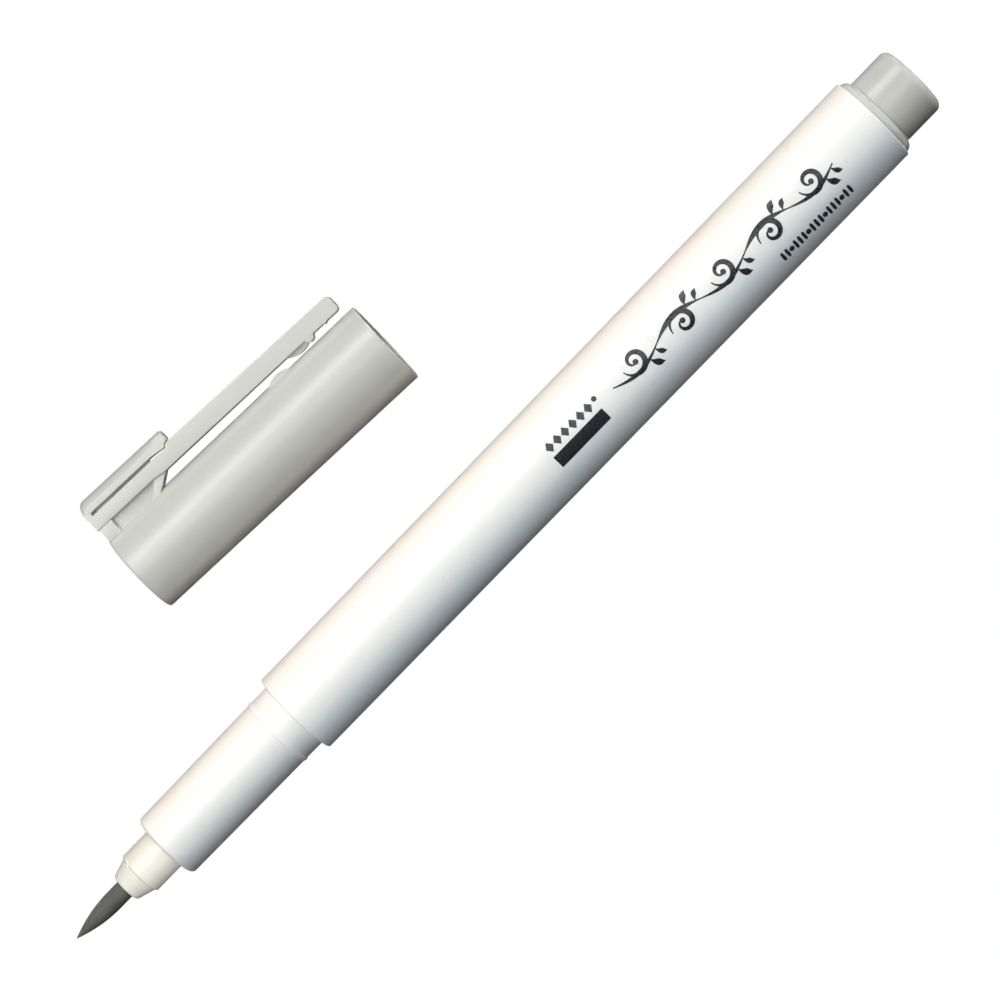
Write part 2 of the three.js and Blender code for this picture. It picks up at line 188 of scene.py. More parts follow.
def supported(outline, closed=True):
    """Adds a point near each end of every long stretch, so that corners shade crisply."""
    points = []
    count = len(outline) if closed else len(outline) - 1
    for i in range(count):
        a, b = Vector(outline[i]), Vector(outline[(i + 1) % len(outline)])
        points.append(tuple(a))
        if (b - a).length > 6 * SUPPORT:
            step = (b - a).normalized() * SUPPORT
            points += [tuple(a + step), tuple(b - step)]
    if not closed:
        points.append(tuple(outline[-1]))
    return points


def lerp(x, x0, x1, y0, y1):
    """The value at x on the line from (x0, y0) to (x1, y1)."""
    return y0 + (y1 - y0) * (x - x0) / (x1 - x0)


# ---- Mesh helpers ----


def finish_mesh(name, bm, place, material):
    """Turns a bmesh in millimetres into an object of the row frame with one material."""
    bmesh.ops.remove_doubles(bm, verts=bm.verts, dist=WELD_DISTANCE)
    bmesh.ops.recalc_face_normals(bm, faces=bm.faces)
    mesh = bpy.data.meshes.new(name)
    bm.to_mesh(mesh)
    bm.free()
    mesh.transform(place)
    mesh.polygons.foreach_set("use_smooth", [True] * len(mesh.polygons))
    mesh.set_sharp_from_angle(angle=SHARP_ANGLE)
    mesh.materials.append(material)
    piece = bpy.data.objects.new(name, mesh)
    bpy.context.scene.collection.objects.link(piece)
    return piece


def turned(name, outline, place, material, closed=False, steps=ROUND_STEPS):
    """Turns an outline of (x, radius) about the x axis."""
    bm = bmesh.new()
    rings = []
    for x, radius in supported(outline, closed):
        count = steps if radius > ON_AXIS else 1
        angles = [2 * math.pi * i / steps for i in range(count)]
        points = [(x, radius * math.cos(a), radius * math.sin(a)) for a in angles]
        rings.append([bm.verts.new(point) for point in points])
    following = rings[1:] + rings[:1] if closed else rings[1:]
    for ring, after in zip(rings, following):
        join_rings(bm, ring, after)
    return finish_mesh(name, bm, place, material)


def join_rings(bm, ring, after):
    """Faces between two rings of equal count, or a fan where one of them is a point."""
    count = max(len(ring), len(after))
    for i in range(count):
        j = (i + 1) % count
        distinct = list(dict.fromkeys([
            ring[i % len(ring)], ring[j % len(ring)], after[j % len(after)], after[i % len(after)],
        ]))
        if len(distinct) > 2:
            bm.faces.new(distinct)


def lofted(name, rings, place, material):
    """A closed body through rings of points, with flat ends."""
    bm = bmesh.new()
    loops = [[bm.verts.new(p) for p in ring] for ring in rings]
    for ring, after in zip(loops, loops[1:]):
        join_rings(bm, ring, after)
    bm.faces.new(loops[0])
    bm.faces.new(loops[-1])
    return finish_mesh(name, bm, place, material)


def rounded_slab(name, side, width, place, material, bevel):
    """A side view of (u, r) points given a width, which may depend on u, and rounded edges."""
    half = width if callable(width) else (lambda u: width / 2)
    bm = bmesh.new()
    near = [bm.verts.new((u, r, half(u))) for u, r in side]
    far = [bm.verts.new((u, r, -half(u))) for u, r in side]
    bm.faces.new(near)
    bm.faces.new(far)
    join_rings(bm, near, far)
    bmesh.ops.recalc_face_normals(bm, faces=bm.faces)
    rim = [edge for edge in bm.edges if edge.calc_face_angle(0) > RIM_ANGLE]
    bmesh.ops.bevel(bm, geom=rim, offset=bevel, offset_type="OFFSET", segments=BEVEL_SEGMENTS,
                    profile=0.5, affect="EDGES", clamp_overlap=True)
    return finish_mesh(name, bm, place, material)


# ---- Materials ----

# Where a colour Mix node keeps its colour sockets.
MIX_A, MIX_B, MIX_RESULT = 6, 7, 2
# The middle stretch of a noise's values, which holds most of it.
NOISE_LOW, NOISE_HIGH = 0.3, 0.7


class Nodes:
    """Builds one material's node tree, with coordinates in millimetres of the row frame."""

    def __init__(self, name):
        self.material = bpy.data.materials.new(name)
        self.material.use_nodes = True
        self.tree = self.material.node_tree
        self.tree.nodes.clear()
        self.shader = self.add("ShaderNodeBsdfPrincipled")
        output = self.add("ShaderNodeOutputMaterial")
        self.link(self.shader.outputs["BSDF"], output.inputs["Surface"])
        self.place = self.add("ShaderNodeTexCoord").outputs["Object"]

    def add(self, kind, **values):
        node = self.tree.nodes.new(kind)
        for key, value in values.items():
            setattr(node, key, value)
        return node

    def link(self, a, b):
        self.tree.links.new(a, b)

    def set(self, **values):
        """Sets shader sockets that are the same all over, by name with _ for a space."""
        for key, value in values.items():
            self.shader.inputs[key.replace("_", " ")].default_value = value

    def noise(self, per_mm, detail=3.0, stretch=(1, 1, 1), roughness=0.5):
        """Noise with so many features a millimetre. stretch scales its axes."""
        mapping = self.add("ShaderNodeMapping")
        mapping.inputs["Scale"].default_value = [s / MM for s in stretch]
        self.link(self.place, mapping.inputs["Vector"])
        noise = self.add("ShaderNodeTexNoise")
        noise.inputs["Scale"].default_value = per_mm
        noise.inputs["Detail"].default_value = detail
        noise.inputs["Roughness"].default_value = roughness
        self.link(mapping.outputs["Vector"], noise.inputs["Vector"])
        return noise.outputs["Fac"]

    def ramp(self, value, stops):
        """A colour for a value, from (position, colour) stops."""
        ramp = self.add("ShaderNodeValToRGB")
        elements = ramp.color_ramp.elements
        while len(elements) < len(stops):
            elements.new(0.5)
        for element, (position, colour) in zip(elements, stops):
            element.position = position
            element.color = (*colour, 1)
        self.link(value, ramp.inputs["Fac"])
        return ramp.outputs["Color"]

    def spread(self, value, low, high):
        """Maps noise to a number between low and high."""
        spread = self.add("ShaderNodeMapRange")
        spread.inputs["From Min"].default_value = NOISE_LOW
        spread.inputs["From Max"].default_value = NOISE_HIGH
        spread.inputs["To Min"].default_value = low
        spread.inputs["To Max"].default_value = high
        self.link(value, spread.inputs["Value"])
        return spread.outputs["Result"]

    def mix(self, share, base, colour):
        """A base that turns into one colour by a share that varies over the surface."""
        mix = self.add("ShaderNodeMix", data_type="RGBA")
        self.link(share, mix.inputs["Factor"])
        self.link(base, mix.inputs[MIX_A])
        mix.inputs[MIX_B].default_value = (*colour, 1)
        return mix.outputs[MIX_RESULT]

    def bump(self, *layers):
        """Stacks height layers of (value, height in millimetres) into the shader's normal."""
        normal = None
        for value, height in layers:
            bump = self.add("ShaderNodeBump")
            bump.inputs["Strength"].default_value = 1.0
            bump.inputs["Distance"].default_value = height * MM
            self.link(value, bump.inputs["Height"])
            if normal is not None:
                self.link(normal, bump.inputs["Normal"])
            normal = bump.outputs["Normal"]
        self.link(normal, self.shader.inputs["Normal"])


def shade(colour, factor):
    """A colour made lighter or darker."""
    return tuple(min(1.0, channel * factor) for channel in colour)


def moulded_plastic(name, colour, roughness, variation=0.02, subsurface=0.0):
    """Injection-moulded plastic: faint flow mottling, a fine skin and a few dust specks."""
    nodes = Nodes(name)
    mottling = nodes.ramp(nodes.noise(0.12, 4.0, stretch=(0.4, 1, 1)), [
        (NOISE_LOW, shade(colour, 1 - variation)),
        (NOISE_HIGH, shade(colour, 1 + variation)),
    ])
    dust = nodes.ramp(nodes.noise(2.4, 1.0), [(0.815, (0, 0, 0)), (0.83, (1, 1, 1))])
    speckled = nodes.mix(dust, mottling, shade(colour, 0.8))
    nodes.link(speckled, nodes.shader.inputs["Base Color"])
    nodes.link(nodes.spread(nodes.noise(0.5, 5.0), roughness - 0.03, roughness + 0.04),
               nodes.shader.inputs["Roughness"])
    nodes.bump((nodes.noise(9.0, 3.0), 0.0007),
               (nodes.noise(0.25, 2.0, stretch=(0.3, 1, 1)), 0.006))
    nodes.set(IOR=1.49)
    if subsurface:
        nodes.set(Subsurface_Weight=subsurface, Subsurface_Radius=(1.0, 0.9, 0.8),
                  Subsurface_Scale=0.6 * MM)
    return nodes.material


def felt(name, dark, light):
    """Bonded fibre: streaks that run along the pen, with a soft broken surface."""
    nodes = Nodes(name)
    streaks = nodes.noise(1.0, 5.0, stretch=(0.35, 7, 7), roughness=0.7)
    blotches = nodes.noise(0.7, 3.0)
    base = nodes.ramp(streaks, [(0.3, dark), (0.72, light)])
    tone = nodes.mix(nodes.spread(blotches, 0.0, 0.45), base, shade(dark, 0.9))
    nodes.link(tone, nodes.shader.inputs["Base Color"])
    nodes.link(nodes.spread(streaks, 0.62, 0.85), nodes.shader.inputs["Roughness"])
    nodes.bump((streaks, 0.018), (nodes.noise(14.0, 2.0, stretch=(0.2, 1, 1)), 0.008))
    nodes.set(Sheen_Weight=0.04, Sheen_Roughness=0.5)
    return nodes.material


def printed_ink(name):
    """Dark ink: glossy, with tiny pinholes in its film."""
    nodes = Nodes(name)
    tone = nodes.ramp(nodes.noise(5.0, 3.0), [
        (NOISE_LOW, (0.012, 0.013, 0.017)),
        (NOISE_HIGH, (0.022, 0.024, 0.03)),
    ])
    nodes.link(tone, nodes.shader.inputs["Base Color"])
    nodes.link(nodes.spread(nodes.noise(3.0, 3.0), 0.24, 0.36), nodes.shader.inputs["Roughness"])
    nodes.bump((nodes.noise(12.0, 2.0), 0.0006))
    nodes.set(IOR=1.6)
    return nodes.material


def film_wrap(name):
    """Thin clear film with fine creases."""
    nodes = Nodes(name)
    tone = nodes.ramp(nodes.noise(0.6, 4.0), [
        (NOISE_LOW, (0.70, 0.72, 0.73)),
        (NOISE_HIGH, (0.82, 0.84, 0.85)),
    ])
    nodes.link(tone, nodes.shader.inputs["Base Color"])
    nodes.link(nodes.spread(nodes.noise(1.5, 3.0), 0.1, 0.25), nodes.shader.inputs["Roughness"])
    nodes.bump((nodes.noise(0.8, 4.0, stretch=(2, 1, 1)), 0.02))
    return nodes.material


WHITE = moulded_plastic("white_plastic", (0.86, 0.865, 0.86), 0.3, 0.008, subsurface=0.15)
IVORY = moulded_plastic("ivory_plastic", (0.82, 0.81, 0.745), 0.2, subsurface=0.3)
GREY = moulded_plastic("grey_plastic", (0.545, 0.55, 0.515), 0.2)
SEAL = moulded_plastic("seal_plastic", (0.72, 0.72, 0.68), 0.42, subsurface=0.3)
BRUSH = felt("brush_felt", (0.075, 0.077, 0.066), (0.17, 0.172, 0.152))
FIBRE = felt("fibre_felt", (0.10, 0.10, 0.09), (0.22, 0.22, 0.20))
INK = printed_ink("printed_ink")
FILM = film_wrap("clear_film")


# ---- Pen ----


def neck_radius(x):
    """The neck's outer radius at x. It widens a little towards the shoulder."""
    return lerp(x, NECK_FACE_X, SHOULDER_X, NECK_FRONT_R, NECK_REAR_R)


def barrel_radius(x):
    """The barrel's outer radius at x. It widens a little towards the rear."""
    return lerp(x, SHOULDER_X, BARREL_REAR_X, BARREL_FRONT_R, BARREL_REAR_R)


def build_barrel():
    """Barrel and neck, one moulding, open at both ends."""
    nose_hole = NOSE_R + NOSE_CLEARANCE
    neck_round, shoulder_round, rim_round = 0.5, 0.22, 0.15
    chamfer, step = 0.12, 2
    bead_half, bead_steps = 0.36, 8
    bead_height = BEAD_R - neck_radius(BEAD_X)
    bead = []
    for i in range(bead_steps + 1):
        share = i / bead_steps
        x = BEAD_X + bead_half * (2 * share - 1)
        bead.append((x, neck_radius(x) + bead_height * math.sin(math.pi * share) ** 1.5))
    outline = [
        (NECK_FACE_X + chamfer, nose_hole),
        (NECK_FACE_X, nose_hole + chamfer),
        *arc(NECK_FACE_X + neck_round, NECK_FRONT_R - neck_round, neck_round, 180, 90, 10),
        *bead,
        *arc(SHOULDER_X - chamfer, NECK_REAR_R + chamfer, chamfer, -90, 0, 4),
        *arc(SHOULDER_X + shoulder_round, BARREL_FRONT_R - shoulder_round, shoulder_round,
             180, 90),
        *arc(BARREL_REAR_X - rim_round, BARREL_REAR_R - rim_round, rim_round, 90, 0),
        (BARREL_REAR_X, BARREL_BORE_R),
        (SHOULDER_X + step, BARREL_BORE_R),
        (SHOULDER_X, NECK_BORE_R),
        (NOSE_REAR_X - step, NECK_BORE_R),
        (NOSE_REAR_X - step, nose_hole),
    ]
    piece = turned("barrel_body", outline, PEN, WHITE, closed=True)
    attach(piece, "pen")
    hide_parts("barrel")
    return piece


def build_nose():
    """Nib holder: a cone, a step with a vent notch and a collar, and its sleeve in the neck."""
    notch_start = NOSE_STEP_X - 0.06
    notch_end = NOSE_STEP_X + 0.42
    notch_floor = NOSE_CONE_REAR_R - 0.06
    tail_r, tail_length = NOSE_R - 0.5, 2
    outline = [
        *arc(NOSE_FACE_X + 0.12, NOSE_BORE_R + 0.12, 0.12, -90, -180, 3),
        *arc(NOSE_FACE_X + 0.4, NOSE_CONE_FRONT_R - 0.4, 0.4, 180, 106, 8),
        *arc(NOSE_STEP_X - 0.1, NOSE_CONE_REAR_R + 0.08, 0.1, -76, 0, 4),
        *arc(NOSE_STEP_X + 0.16, NOSE_R - 0.14, 0.14, 180, 90, 6),
        (notch_end, NOSE_R),
        (notch_end + 0.03, NOSE_R),
        (NOSE_REAR_X - tail_length - 0.4, NOSE_R),
        (NOSE_REAR_X - tail_length, tail_r),
        (NOSE_REAR_X, tail_r),
        (NOSE_REAR_X, NOSE_BORE_R),
    ]
    piece = turned("nose_holder", outline, PEN, IVORY, closed=True, steps=NOSE_STEPS)
    to_pen = PEN.inverted()
    middle, half = math.radians(VENT_TURN), VENT_WIDTH / 2 / NOSE_R
    for vertex in piece.data.vertices:
        point = to_pen @ vertex.co
        radius = math.hypot(point.y, point.z)
        turn = math.atan2(point.y, point.z)
        along = notch_start < point.x < notch_end + 0.01
        if along and radius > notch_floor and abs(turn - middle) < half:
            point.y *= notch_floor / radius
            point.z *= notch_floor / radius
            vertex.co = PEN @ point
    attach(piece, "pen")
    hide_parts("nib_holder")
    return piece


def build_brush():
    """The felt nib from its point to its rear end in the reservoir."""
    taper_steps, shaft_steps = 32, 14
    taper = []
    for i in range(1, taper_steps + 1):
        share = i / taper_steps
        taper.append((BRUSH_POINT_X + BRUSH_TAPER * share, BRUSH_R * (2 * share - share * share)))
    shaft = [(NOSE_FACE_X - 2.0 + 0.25 * i, BRUSH_R) for i in range(shaft_steps)]
    outline = [(BRUSH_POINT_X, 0.0), *taper, *shaft, (STEM_REAR_X, BRUSH_R), (STEM_REAR_X, 0.0)]
    piece = turned("felt_brush", outline, PEN, BRUSH, steps=SLIM_STEPS)
    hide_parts("brush_tip", "brush_stem")
    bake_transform(piece)


def build_plug():
    """End plug: a hollow spigot, a rounded collar, a fine groove and the post."""
    wall, post_round, groove = 1.0, 0.9, 0.1
    spigot = BARREL_BORE_R - PLUG_CLEARANCE
    bore = spigot - wall
    front = BARREL_REAR_X + 0.05
    depth = COLLAR_REAR_X - front
    collar = [(front + depth * along, PLUG_R - groove + (COLLAR_R - PLUG_R + groove) * out)
              for along, out in arc(0, 0, 1, 90, 0, 10)]
    outline = [
        (TAIL_X - wall, 0.0),
        (TAIL_X - wall, bore),
        (PLUG_FRONT_X, bore),
        (PLUG_FRONT_X, spigot),
        (front, spigot),
        *collar,
        (COLLAR_REAR_X + 0.12, PLUG_R - groove),
        *arc(COLLAR_REAR_X + 0.2, PLUG_R - 0.05, 0.05, 180, 90, 3),
        *arc(TAIL_X - post_round, PLUG_R - post_round, post_round, 90, 0, 14),
        (TAIL_X, 0.0),
    ]
    piece = turned("tail_plug", outline, PEN, GREY)
    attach(piece, "pen")
    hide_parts("end_plug")


def build_reservoir():
    """The fibre core and its wrap, sealed inside the barrel."""
    inner = FILM_R - FILM_THICKNESS
    radius = inner - 0.05
    pocket = STEM_REAR_X + 0.2
    core = turned("fibre_core", [
        (pocket, 0.0), (pocket, NOSE_BORE_R), (RESERVOIR_FRONT_X, NOSE_BORE_R),
        (RESERVOIR_FRONT_X, radius), (RESERVOIR_REAR_X, radius), (RESERVOIR_REAR_X, 0.0),
    ], PEN, FIBRE, steps=SLIM_STEPS)
    wrap = turned("core_wrap", [
        (RESERVOIR_FRONT_X, inner), (RESERVOIR_FRONT_X, FILM_R),
        (RESERVOIR_REAR_X, FILM_R), (RESERVOIR_REAR_X, inner),
    ], PEN, FILM, closed=True, steps=SLIM_STEPS)
    for piece, node, slot in ((core, "ink_reservoir", "fibre_felt"),
                              (wrap, "reservoir_film", "clear_film")):
        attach(piece, "pen")
        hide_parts(node)


# ---- Cap ----


def cap_radius(u):
    """The cap's outer radius at u. It widens a little towards the mouth."""
    return lerp(u, 0, CAP_LENGTH, CAP_CLOSED_R, CAP_MOUTH_R)


def build_cap_tube():
    """The cap's tube with its closed end and a rounded mouth."""
    end_round, mouth_round, bore_round = 0.3, 0.14, 0.12
    outline = [
        (0.0, 0.0),
        *arc(end_round, CAP_CLOSED_R - end_round, end_round, 180, 90, 8),
        *arc(CAP_LENGTH - mouth_round, CAP_MOUTH_R - mouth_round, mouth_round, 90, 0),
        *arc(CAP_LENGTH - bore_round, CAP_BORE_R + bore_round, bore_round, 0, -90, 4),
        (CAP_END_WALL, CAP_BORE_R),
        (CAP_END_WALL, 0.0),
    ]
    piece = turned("cap_tube", outline, CAP, GREY)
    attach(piece, "cap")
    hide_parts("cap_shell")


def build_cap_seal():
    """The soft tube inside the cap: a flange at its foot and a lip that grips the nose."""
    gap, thickness, mouth_round = 0.05, 0.7, 0.3
    flange, lip, bore, outer = CAP_BORE_R - gap, 2.85, 3.0, 3.7
    base = CAP_END_WALL + gap
    outline = [
        (base, bore), (base, flange), (base + thickness, flange), (base + thickness, outer),
        *arc(SEAL_MOUTH_U - mouth_round, outer - mouth_round, mouth_round, 90, 0),
        (SEAL_MOUTH_U, bore + 0.2),
        (SEAL_MOUTH_U - 0.5, lip), (SEAL_MOUTH_U - 1.2, lip), (SEAL_MOUTH_U - 1.8, bore),
    ]
    piece = turned("inner_seal", outline, CAP, SEAL, closed=True, steps=SLIM_STEPS)
    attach(piece, "cap")
    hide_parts("cap_inner_seal")


def eased(share):
    """A share from 0 to 1 that starts and stops softly."""
    return share * share * (3 - 2 * share)


def quarters(first, last):
    """Stations from one u to another, in either direction, a quarter of a millimetre apart."""
    step = 1 if last > first else -1
    return [i / 4 for i in range(round(first * 4), round(last * 4) + step, step)]


def arm_bottom(u):
    """The arm's underside: a step down at the strut, then a straight slope to the tip."""
    if u < STRUT_REAR[1]:
        return ARM_BOTTOM_REAR
    if u < STRUT_FRONT[1]:
        share = (u - STRUT_REAR[1]) / (STRUT_FRONT[1] - STRUT_REAR[1])
        return ARM_BOTTOM_REAR + (ARM_BOTTOM_ROOT - ARM_BOTTOM_REAR) * eased(share)
    return lerp(u, FLEX_U, CLIP_TIP_U, ARM_BOTTOM_ROOT, ARM_BOTTOM_TIP)


def clip_half_width(u):
    """Half the arm's width at u. It narrows from the strut to the tip."""
    return lerp(max(u, FLEX_U), FLEX_U, CLIP_TIP_U, CLIP_ROOT_WIDTH, CLIP_TIP_WIDTH) / 2


def bump_points(bump, steps=12):
    """A low arch on the underside of the arm, from root to tip. A small power squares it."""
    start, end, height, power = bump
    points = []
    for i in range(steps + 1):
        share = i / steps
        u = start + (end - start) * share
        points.append((u, arm_bottom(u) - height * math.sin(math.pi * share) ** power))
    return points


def build_clip_arm():
    """The whole clip arm, fixed on the pedestal as far as the strut and free beyond it."""
    tip_round, bevel = 0.55, 0.14
    step_u = WEDGE_END_U + 0.15
    top_u = step_u + 0.35
    rear_u = SLOT_START_U - 0.4
    side = [
        (rear_u, ARM_BOTTOM_REAR),
        *[(u, arm_bottom(u)) for u in quarters(8.5, 14)],
        *bump_points(STOP_BUMP),
        *bump_points(TIP_BUMP, 6),
        *arc(CLIP_TIP_U - tip_round, ARM_BOTTOM_TIP + tip_round, tip_round, -90, 0),
        *arc(CLIP_TIP_U - tip_round, ARM_TOP_TIP - tip_round, tip_round, 0, 90),
        *[(u, lerp(u, top_u, CLIP_TIP_U, ARM_TOP_FRONT, ARM_TOP_TIP)) for u in quarters(14, 12.75)],
        (top_u, ARM_TOP_FRONT),
        (step_u, ARM_TOP_SLOT),
        *[(u, ARM_TOP_SLOT) for u in quarters(11.75, 8.5)],
        (rear_u, ARM_TOP_SLOT),
    ]
    piece = rounded_slab("clip_bar", side, clip_half_width, CAP, GREY, bevel)
    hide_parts("clip_arm")
    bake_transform(piece)


def build_cam_bump():
    """The larger bump under the arm, narrower than the arm and set back from its sides."""
    points, root = bump_points(CAM_BUMP, 24), 0.3
    side = [*points, (points[-1][0], points[-1][1] + root), (points[0][0], points[0][1] + root)]
    piece = rounded_slab("clip_cam", side, CAM_WIDTH, CAP, GREY, bevel=0.08)
    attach(piece, "clip")
    return piece


def plate_bottom(u):
    """The plate's underside: the bend's foot, a slot, a wedge down to the arm, then a lift."""
    if u <= SLOT_START_U:
        return ARM_BOTTOM_REAR
    if u <= WEDGE_START_U:
        return SLOT_TOP
    if u <= WEDGE_END_U:
        return lerp(u, WEDGE_START_U, WEDGE_END_U, SLOT_TOP, ARM_TOP_SLOT + WEDGE_GAP)
    share = min((u - WEDGE_END_U) / LIFT_LENGTH, 1.0)
    return lerp(eased(share), 0, 1, ARM_TOP_SLOT + WEDGE_GAP, PLATE_LIFT)


def plate_half_width(u):
    """Full width at the bend, easing to the tongue's width."""
    share = max(0.0, (u - TONGUE_START_U) / (PLATE_TIP_U - TONGUE_START_U))
    proud = 0.03
    return (CLIP_ROOT_WIDTH + proud + (TONGUE_WIDTH - CLIP_ROOT_WIDTH) * eased(share)) / 2


def crown_drop(z):
    """How far the plate's crowned top lies below its middle line at a width z from it."""
    return PLATE_CROWN_R - math.sqrt(PLATE_CROWN_R**2 - z**2)


def plate_ring(u, inset=0.0, top=None):
    """One cross-section of the crowned plate, drawn in by inset, as (u, r, z) points."""
    half = plate_half_width(u) - inset
    bottom = plate_bottom(u) + inset
    if top is None:
        top = lerp(u, CLIP_REAR_U, PLATE_TIP_U, PLATE_TOP, PLATE_TOP_TIP) - inset
    edge = top - crown_drop(half)
    corner = min(0.22, (edge - bottom) / 3)
    foot, crown_steps = 0.08, 16
    side = [(bottom, half - foot), (bottom + foot, half), (edge - corner, half)]
    for i in range(1, 4):
        a = math.radians(30 * i)
        side.append((edge - corner + corner * math.sin(a) * 0.9,
                     half - corner * 0.5 * (1 - math.cos(a))))
    ring = [(u, r, -z) for r, z in side]
    inner = half - corner * 0.9
    for i in range(crown_steps + 1):
        z = inner * (2 * i / crown_steps - 1)
        ring.append((u, top - crown_drop(z), z))
    return ring + [(u, r, z) for r, z in reversed(side)]


def build_clip_plate():
    """The U-bend and the crowned plate above the arm, ending in a narrower tongue."""
    bend, tip_round, steps, tiny = 0.9, 0.32, 8, 0.02
    quarter_turn = [math.radians(90 * i / steps) for i in range(steps + 1)]
    rings = [plate_ring(CLIP_REAR_U + bend * (1 - math.cos(a)),
                        top=PLATE_TOP - bend * (1 - math.sin(a))) for a in quarter_turn]
    rings = [ring for ring in rings if ring[0][0] < SLOT_START_U - tiny]
    rings += [plate_ring(SLOT_START_U), plate_ring(SLOT_START_U + tiny)]
    rings += [plate_ring(u) for u in quarters(1, 11.75)]
    rings += [plate_ring(WEDGE_END_U + 0.08 * i) for i in range(7)]
    for a in quarter_turn:
        inset = tip_round * (1 - math.cos(a))
        rings.append(plate_ring(PLATE_TIP_U - tip_round * (1 - math.sin(a)), inset))
    piece = lofted("clip_plate", rings, CAP, GREY)
    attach(piece, "cap")
    return piece


def build_pedestal():
    """The clip's foot on the cap: a block, a ribbed web and a slanted strut."""
    sunk, overlap, lean = 0.1, 0.08, 0.2
    low, high = CAP_BORE_R + sunk, ARM_BOTTOM_REAR + overlap
    front_high = ARM_BOTTOM_ROOT + overlap

    def rear(r):
        return lerp(r, CAP_CLOSED_R, ARM_BOTTOM_REAR, *STRUT_REAR)

    def front(r):
        return lerp(r, CAP_CLOSED_R, ARM_BOTTOM_ROOT, *STRUT_FRONT)

    def upright(start, end, bottom, top):
        return [(start, bottom), (end, bottom), (end, top), (start, top)]

    block = upright(BLOCK_START_U, BLOCK_END_U, low, high)
    web = [(WEB_START_U, low), (rear(low) + lean, low),
           (rear(high) + lean, high), (WEB_START_U, high)]
    strut = [(rear(low), low), (front(low), low),
             (front(front_high), front_high), (rear(high), high)]
    slot = upright(SLOT_START_U - sunk, SLOT_WEB_END_U, ARM_TOP_SLOT - sunk, SLOT_TOP + sunk)
    pieces = [
        rounded_slab("clip_foot_block", block, BLOCK_WIDTH, CAP, GREY, bevel=0.08),
        rounded_slab("clip_foot_web", web, WEB_WIDTH, CAP, GREY, bevel=0.03),
        rounded_slab("clip_foot_strut", strut, STRUT_WIDTH, CAP, GREY, bevel=0.14),
        rounded_slab("clip_slot_web", slot, SLOT_WEB_WIDTH, CAP, GREY, bevel=0.02),
    ]
    for i in range(RIB_COUNT):
        u = RIB_START_U + RIB_PITCH * i
        rib = upright(u - RIB_HALF, u + RIB_HALF, CAP_CLOSED_R - 0.2, high)
        pieces.append(rounded_slab(f"clip_foot_rib_{i + 1:02d}", rib, RIB_WIDTH, CAP, GREY,
                                   bevel=0.03))
    for piece in pieces:
        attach(piece, "cap")


def build_wall_bump():
    """The low arch on the cap's wall under the clip, with upright sides."""
    centre, length, height, width = 27.05, 3.4, 0.5, 2.5
    foot = cap_radius(centre) - 0.1
    radius = (length**2 / 4 + height**2) / (2 * height)
    reach = math.degrees(math.asin(length / 2 / radius))
    crest = arc(centre, foot + height - radius, radius, 90 + reach, 90 - reach, 20)
    side = [*crest, (centre + length / 2, foot - 0.4), (centre - length / 2, foot - 0.4)]
    piece = rounded_slab("cap_wall_bump", side, width, CAP, GREY, bevel=0.07)
    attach(piece, "cap")


# ---- Printed ornament ----

INK_LIFT = 0.012
INK_DEPTH = 0.03
INK_COLUMNS = 6
INK_THINNEST = 0.02


def on_barrel(x, w, lift):
    """The point at x and at w round the barrel from its top, in millimetres, raised by lift."""
    radius = barrel_radius(x)
    turn = w / radius
    return x, -(radius + lift) * math.sin(turn), (radius + lift) * math.cos(turn)


def ink_strip(bm, rails):
    """A thin printed layer between two rails of (x, w) points, as a closed solid."""
    top, bottom = [], []
    shares = [i / INK_COLUMNS for i in range(INK_COLUMNS + 1)]
    for (xa, wa), (xb, wb) in rails:
        across = [(xa + (xb - xa) * s, wa + (wb - wa) * s) for s in shares]
        top.append([bm.verts.new(on_barrel(x, w, INK_LIFT)) for x, w in across])
        bottom.append([bm.verts.new(on_barrel(x, w, -INK_DEPTH)) for x, w in across])
    for i in range(len(rails) - 1):
        for j in range(INK_COLUMNS):
            bm.faces.new([top[i][j], top[i][j + 1], top[i + 1][j + 1], top[i + 1][j]])
            bm.faces.new([bottom[i][j], bottom[i + 1][j], bottom[i + 1][j + 1], bottom[i][j + 1]])
        for j in (0, INK_COLUMNS):
            bm.faces.new([top[i][j], top[i + 1][j], bottom[i + 1][j], bottom[i][j]])
    for i in (0, -1):
        bm.faces.new([*top[i], *reversed(bottom[i])])


def ink_stroke(bm, path, width):
    """A stroke along a path of (x, w) points. width is a function of the share along it."""
    rails = []
    last = len(path) - 1
    for i in range(last + 1):
        before, after = Vector(path[max(i - 1, 0)]), Vector(path[min(i + 1, last)])
        along = (after - before).normalized()
        side = Vector((-along.y, along.x)) * max(width(i / last), INK_THINNEST) / 2
        centre = Vector(path[i])
        rails.append((tuple(centre - side), tuple(centre + side)))
    ink_strip(bm, rails)


def ink_dot(bm, x, w, half_x, half_w, power=2.0, steps=14):
    """A filled spot. Power 2 makes it an ellipse and power 1 a diamond."""
    rails = []
    for i in range(steps + 1):
        along = -math.cos(math.pi * i / steps)
        across = max(1 - abs(along) ** power, 0.0) ** (1 / power)
        reach = max(half_w * across, INK_THINNEST / 2)
        rails.append(((x + half_x * along, w - reach), (x + half_x * along, w + reach)))
    ink_strip(bm, rails)


def spiral(x, w, start_radius, start_turn, turns):
    """A curl that winds in towards its centre, as (x, w) points."""
    steps, shrink = 40, 0.86
    points = []
    for i in range(steps + 1):
        share = i / steps
        radius = start_radius * (1 - shrink * share)
        turn = start_turn + turns * 2 * math.pi * share
        points.append((x + radius * math.cos(turn), w + radius * math.sin(turn)))
    return points


